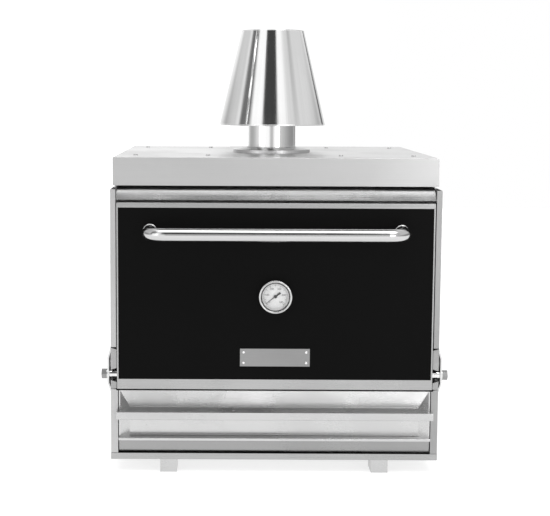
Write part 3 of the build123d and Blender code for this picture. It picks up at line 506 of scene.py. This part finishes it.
lip_thickness = 0.0016
lip_inset = 0.0002
lip_end_gap = 0.004
lip_most_lean = 0.004
bush_clearance = 0.002
door_clearance = 0.0012
bush_low, bush_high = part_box("hinge_bushes")
lip_end_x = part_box("door_frame")[1].x + door_clearance
for side, name in ((-1.0, "left_hinge_bracket"), (1.0, "right_hinge_bracket")):
    low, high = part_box(name)
    plate_x = min(abs(low.x), abs(high.x)) + lip_inset
    lip = bmesh.new()
    for bottom, top in (
        (low.z + lip_end_gap, bush_low.z - bush_clearance),
        (bush_high.z + bush_clearance, high.z - lip_end_gap),
    ):
        lean = min(lip_most_lean, (top - bottom) / 3)
        outline = [(plate_x, bottom), (lip_end_x, bottom + lean), (lip_end_x, top - lean), (plate_x, top)]
        corners = [(side * x, low.y + lip_inset, z) for x, z in outline]
        extrude_outline(lip, corners, lip_thickness)
    new_piece(f"{name}_lip", lip, mill_steel, "oven", smooth=False)

# Thermometer: a white enamelled dial with a black painted pointer, behind clear glass. The enamel and
# the paint have fine specks, and the glass has faint smears.


def speckled(name, colour, scale, roughness, tone, detail=2.0, **constants):
    """A plain finish with fine specks; roughness and tone are given as a lowest and highest value."""
    material, tree, shader = start_material(name, colour, **constants)
    specks = noise(tree, place_on(tree), scale, detail)
    tint(tree, shader, between(tree, specks, *tone))
    roughen(tree, shader, between(tree, specks, *roughness))
    return material


dial_enamel = speckled("dial_enamel", grey(0.80), 700.0, roughness=(0.32, 0.42), tone=(0.97, 1.02))
pointer_black = speckled("pointer_black", grey(0.01), 900.0, roughness=(0.42, 0.58), tone=(0.8, 1.2))
clear_glass, tree, shader = start_material("clear_glass", grey(0.97), Alpha=0.03, IOR=1.45)
smears = noise(tree, place_on(tree), 60.0, detail=4.0, rough=0.6)
roughen(tree, shader, between(tree, smears, 0.0, 0.05))
dress(dial_enamel, "thermometer_dial")
dress(pointer_black, "thermometer_needle")
dress(clear_glass, "thermometer_lens")

# Thermometer bezel: a bright round rim of stainless, pressed over the glass. It is turned from a round
# section.


def turned_ring(profile, centre, axis, steps=96):
    """A closed profile of (radius, height) points, spun once round the axis through the centre."""
    mesh = bmesh.new()
    sideways = Vector((1.0, 0.0, 0.0))
    rim = [mesh.verts.new(Vector(centre) + sideways * radius + axis * height) for radius, height in profile]
    edges = [mesh.edges.new((rim[i], rim[(i + 1) % len(rim)])) for i in range(len(rim))]
    bmesh.ops.spin(
        mesh, geom=rim + edges, cent=centre, axis=axis, angle=2 * pi, steps=steps,
        use_merge=True, use_duplicate=False,
    )
    return mesh


def round_section(radius, bead, points=12):
    """A round section at a radius from the axis; bead is the section's own radius."""
    turns = [2 * pi * i / points for i in range(points)]
    return [(radius + bead * cos(turn), bead * sin(turn)) for turn in turns]


outwards = Vector((0.0, -1.0, 0.0))
case_low, case_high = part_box("thermometer_case")
gauge_z = (case_low.z + case_high.z) / 2
gauge_radius = (case_high.z - case_low.z) / 2
bezel_bead = 0.0026
bezel_y = case_low.y + 0.0012
bezel_section = round_section(gauge_radius - bezel_bead, bezel_bead)
bezel = turned_ring(bezel_section, (0.0, bezel_y, gauge_z), outwards, steps=128)
new_piece("thermometer_bezel", bezel, handle_steel, "door")

# Thermometer gasket: a thin dark ring inside the bezel, shaped as the moulded rubber ring that holds the
# glass; its dark colour is painted shade, where the case's wall shades the dial's rim. It is turned from a
# round section too.
gasket_painted_shade = speckled(
    "gasket_painted_shade", grey(0.03), 1200.0, roughness=(0.55, 0.75), tone=(0.7, 1.3), detail=3.0,
    Specular_IOR_Level=0.3,
)
gasket_inset = 0.0062
gasket_bead = 0.0009
gasket_y = case_low.y + 0.0010
gasket_section = round_section(gauge_radius - gasket_inset, gasket_bead)
gasket = turned_ring(gasket_section, (0.0, gasket_y, gauge_z), outwards)
new_piece("thermometer_gasket", gasket, gasket_painted_shade, "door")

# Dial marks: a printed scale of fine and long strokes with plain numbers, black on the white enamel.
# Each stroke is a thin block just proud of the dial, and each number is a flat figure.
dial_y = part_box("thermometer_dial")[0].y
scale_start, scale_sweep = radians(225.0), radians(270.0)
scale_parts = 50
parts_per_long_stroke = 5
scale_radius = 0.0275
stroke_height = 0.0002
long_stroke, fine_stroke = (0.005, 0.0007), (0.003, 0.00035)
ink = speckled("dial_ink", grey(0.02), 1500.0, roughness=(0.45, 0.6), tone=(0.7, 1.6))
strokes = bmesh.new()
for i in range(scale_parts + 1):
    turn = scale_start - scale_sweep * i / scale_parts
    length, width = fine_stroke if i % parts_per_long_stroke else long_stroke
    block = bmesh.ops.create_cube(strokes, size=1.0)["verts"]
    place = (
        Matrix.Translation((0.0, dial_y, gauge_z))
        @ Matrix.Rotation(-turn, 4, "Y")
        @ Matrix.Translation((scale_radius - length / 2, 0.0, 0.0))
        @ Matrix.Diagonal((length, stroke_height, width, 1.0))
    )
    bmesh.ops.transform(strokes, matrix=place, verts=block)
new_piece("dial_strokes", strokes, ink, "door", smooth=False)

number_steps = 5
degrees_per_number = 100
number_radius = 0.0185
upright = Matrix.Rotation(radians(90.0), 4, "X")
for i in range(number_steps + 1):
    letters = bpy.data.curves.new("dial_number", "FONT")
    letters.body = str(degrees_per_number * i)
    letters.size = 0.0062
    letters.align_x = "CENTER"
    letters.align_y = "CENTER"
    letters.extrude = 0.0001
    holder = bpy.data.objects.new("dial_number", letters)
    printed = bpy.data.meshes.new_from_object(holder)
    bpy.data.objects.remove(holder)
    figures = bmesh.new()
    figures.from_mesh(printed)
    bpy.data.meshes.remove(printed)
    turn = scale_start - scale_sweep * i / number_steps
    spot = Matrix.Translation((number_radius * cos(turn), dial_y, gauge_z + number_radius * sin(turn)))
    bmesh.ops.transform(figures, matrix=spot @ upright, verts=figures.verts)
    new_piece(f"dial_number_{i}", figures, ink, "door", smooth=False)

# Pointer hub: a small black cap with a sloping edge, turned from rod and pressed over the pointer's
# root. It turns with the pointer.
needle_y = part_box("thermometer_needle")[0].y
hub_bore = 0.0002
hub_radius, hub_height = 0.0038, 0.0012
edge_in, edge_down = 0.0006, 0.0002
straight_wall = 0.0004
hub_section = [
    (hub_bore, hub_height), (hub_radius - edge_in, hub_height - edge_down), (hub_radius, straight_wall),
    (hub_radius, 0.0), (hub_bore, 0.0),
]
hub = turned_ring(hub_section, (0.0, needle_y, gauge_z), outwards, steps=48)
new_piece("pointer_hub", hub, pointer_black, "needle")

# Pointer tail: a broad black counterweight that lies on the pointer's short arm, beyond the hub. It is
# an extruded wedge in the pointer's plane.
tail_turn = radians(37.7)
tail_start, tail_end = 0.002, 0.0138
half_narrow, half_broad = 0.0012, 0.0026
tail_thickness = 0.0005
tail_y = needle_y + 0.0001
outline = [
    (tail_start, -half_narrow), (tail_end, -half_broad), (tail_end, half_broad), (tail_start, half_narrow),
]
turned = Matrix.Translation((0.0, tail_y, gauge_z)) @ Matrix.Rotation(-tail_turn, 4, "Y")
tail = bmesh.new()
extrude_outline(tail, [turned @ Vector((along, 0.0, aside)) for along, aside in outline], -tail_thickness)
new_piece("pointer_tail", tail, pointer_black, "needle", smooth=False)

# Flue: the pipe and the hat are rolled from polished sheet, with faint streaks that run up the sheet,
# as the rolling left them. Their grain is laid out by the turn round the flue's middle and the height.
streaks_round, streaks_up = 26.0, 3.0
pipe_low, pipe_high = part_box("flue_pipe")
pipe_radius = (pipe_high.x - pipe_low.x) / 2
flue_y = (pipe_low.y + pipe_high.y) / 2
hat_steel, tree, shader = start_material("hat_steel", grey(0.80), Metallic=1.0)
axes = split(tree, place_on(tree, move=(0.0, -flue_y, 0.0)))
rolled = tree.nodes.new("ShaderNodeCombineXYZ")
turn = maths(tree, "ARCTAN2", axes["X"], axes["Y"])
feed(tree, maths(tree, "MULTIPLY", turn, streaks_round), rolled.inputs["X"])
feed(tree, maths(tree, "MULTIPLY", axes["Z"], streaks_up), rolled.inputs["Y"])
brush(
    tree, shader, rolled.outputs[0],
    smooth=0.05, rough=0.13, contrast=0.16, dull=0.04, patch=9.0, depth=0.00006,
)
dress(hat_steel, "flue_hat", "flue_pipe")

# Hat hems: the hat's two ends are rolled round a wire, so each shows as a thin round bead. The beads
# are turned from a small circle, in the hat's steel.
upwards = Vector((0.0, 0.0, 1.0))
hat_low, hat_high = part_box("flue_hat")
hat_wide = (hat_high.x - hat_low.x) / 2
hat_narrow = 0.077
hem_bead = 0.0016
for name, radius, height in (
    ("hat_hem_low", hat_wide - hem_bead, hat_low.z + hem_bead),
    ("hat_hem_high", hat_narrow - hem_bead / 2, hat_high.z - hem_bead),
):
    ring = turned_ring(round_section(radius, hem_bead), (0.0, flue_y, height), upwards)
    new_piece(name, ring, hat_steel, "oven")

# Hat seam: the rolled cone closes in a lap that is pressed flat, left of the middle, and shows as a
# slim half-round bead from hem to hem. It is bridged from a small ring at each end.
seam_turn = radians(-30.0)
seam_half_width = 0.0028
seam_rise = 0.0014
seam_end_gap = 0.004
seam_low_inset, seam_high_outset = 0.0006, 0.0004
seam_points = 16
seam_ends = (
    (hat_wide - seam_low_inset, hat_low.z + seam_end_gap),
    (hat_narrow + seam_high_outset, hat_high.z - seam_end_gap),
)
out_of_hat = Vector((sin(seam_turn), -cos(seam_turn), 0.0))
round_hat = Vector((cos(seam_turn), sin(seam_turn), 0.0))
seam = bmesh.new()
seam_edges = []
for radius, height in seam_ends:
    middle = Vector((0.0, flue_y, height)) + out_of_hat * radius
    rim = []
    for i in range(seam_points):
        turn = 2 * pi * i / seam_points
        off_middle = round_hat * seam_half_width * cos(turn) + out_of_hat * seam_rise * sin(turn)
        rim.append(seam.verts.new(middle + off_middle))
    seam_edges += [seam.edges.new((rim[i], rim[(i + 1) % seam_points])) for i in range(seam_points)]
bmesh.ops.bridge_loops(seam, edges=seam_edges)
bmesh.ops.holes_fill(seam, edges=seam.edges, sides=seam_points)
new_piece("hat_seam", seam, hat_steel, "oven")

# Flue weld: the pipe is welded to its flange all round. The bead is a slim smooth ring of bare steel
# at the pipe's foot.
weld_steel = steel_sheet(
    "weld_steel", grey(0.70), (60.0, 60.0, 400.0),
    smooth=0.30, rough=0.50, contrast=0.3, dull=0.12, patch=30.0,
)
weld_bead = 0.0015
weld_out, weld_up = 0.001, 0.0005
weld_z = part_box("flue_flange")[1].z + weld_up
weld_section = round_section(pipe_radius + weld_out, weld_bead)
weld = turned_ring(weld_section, (0.0, flue_y, weld_z), upwards, steps=180)
new_piece("flue_weld", weld, weld_steel, "oven")

# Folded and cut edges: a fine bevel softens the corners of the sheet parts, heads and feet, so that
# they catch the light as deburred steel does.
edge_width = 0.0005
least_corner = radians(40.0)
for name in (
    "top_cover", "door_frame", "grease_drawer_front", "ash_drawer_front", "base_tray", "feet", "drip_hood",
    "right_side_panel", "left_side_panel", "right_hinge_pin", "left_hinge_pin", "right_hinge_bracket",
    "left_hinge_bracket", "hinge_washers", "hinge_bushes", "blank_plate", "hood_tab",
):
    softened = nodes[name].modifiers.new("softened_edges", "BEVEL")
    softened.width = edge_width
    softened.segments = 2
    softened.limit_method = "ANGLE"
    softened.angle_limit = least_corner
